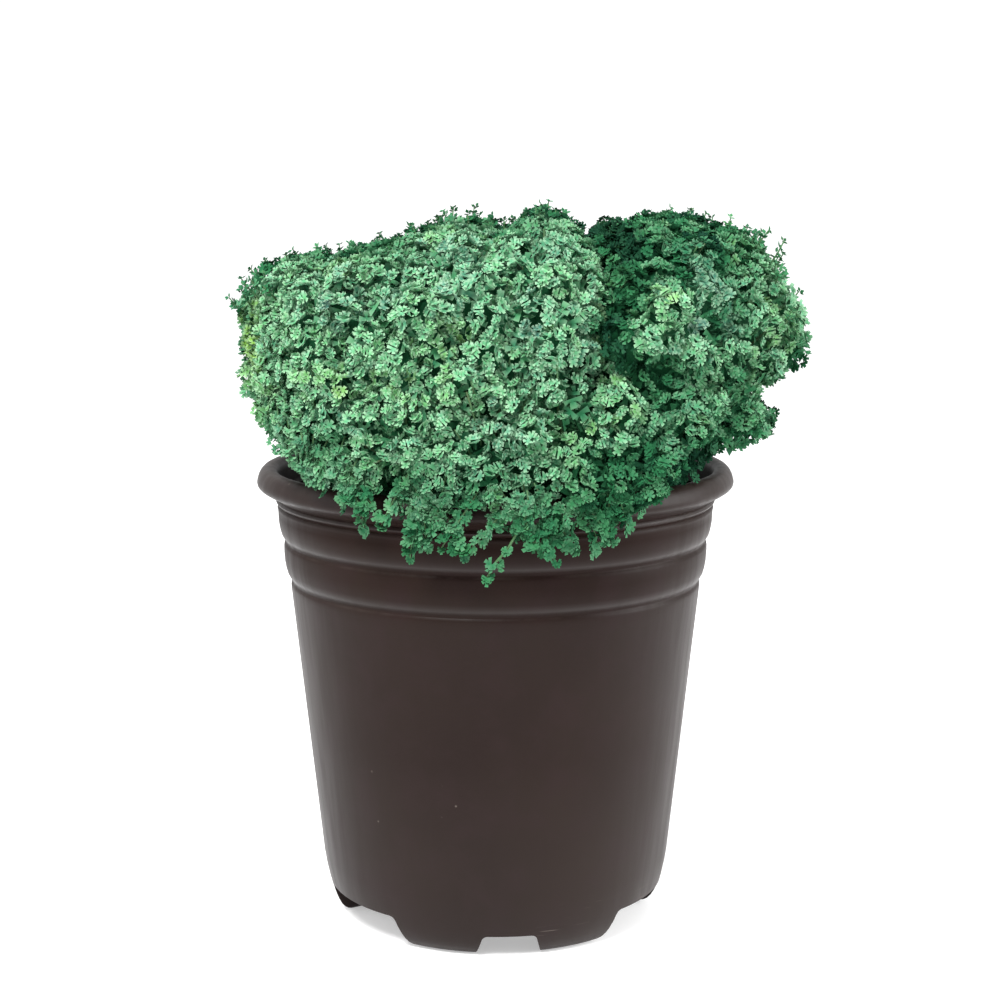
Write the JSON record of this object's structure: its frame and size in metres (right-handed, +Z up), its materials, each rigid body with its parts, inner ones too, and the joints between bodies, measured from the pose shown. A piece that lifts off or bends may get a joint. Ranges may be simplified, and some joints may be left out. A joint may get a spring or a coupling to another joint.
{
  "type": "potted plant",
  "caption": "Creeping thyme in a round nursery pot: a dense, lopsided cushion of small leaf rosettes that overhangs the stepped rim, on stems rooted in potting mix.",
  "frame": {"origin": "on the ground, under the middle of the whole plant's width and depth", "axes": "+Z up; the front, where the leaves hang lowest over the rim, faces -Y; +X to the right seen from the front"},
  "size_m": [0.2071, 0.2029, 0.2545],
  "materials": {
    "pot_plastic": "satin",
    "potting_mix": "matte",
    "thyme_leaf": "matte"
  },
  "bodies": {
    "root": {"pot": "pot_plastic", "potting_mix": "potting_mix", "spray_top_01": "thyme_leaf", "spray_top_02": "thyme_leaf", "spray_top_03": "thyme_leaf", "spray_shoulder_01": "thyme_leaf", "spray_shoulder_02": "thyme_leaf", "spray_shoulder_03": "thyme_leaf", "spray_shoulder_04": "thyme_leaf", "spray_shoulder_05": "thyme_leaf", "spray_shoulder_06": "thyme_leaf", "spray_shoulder_07": "thyme_leaf", "spray_side_01": "thyme_leaf", "spray_side_02": "thyme_leaf", "spray_side_03": "thyme_leaf", "spray_side_04": "thyme_leaf", "spray_side_05": "thyme_leaf", "spray_side_06": "thyme_leaf", "spray_side_07": "thyme_leaf", "spray_trailing_01": "thyme_leaf", "spray_trailing_02": "thyme_leaf", "spray_trailing_03": "thyme_leaf", "spray_trailing_04": "thyme_leaf", "spray_trailing_05": "thyme_leaf"}
  },
  "joints": []
}
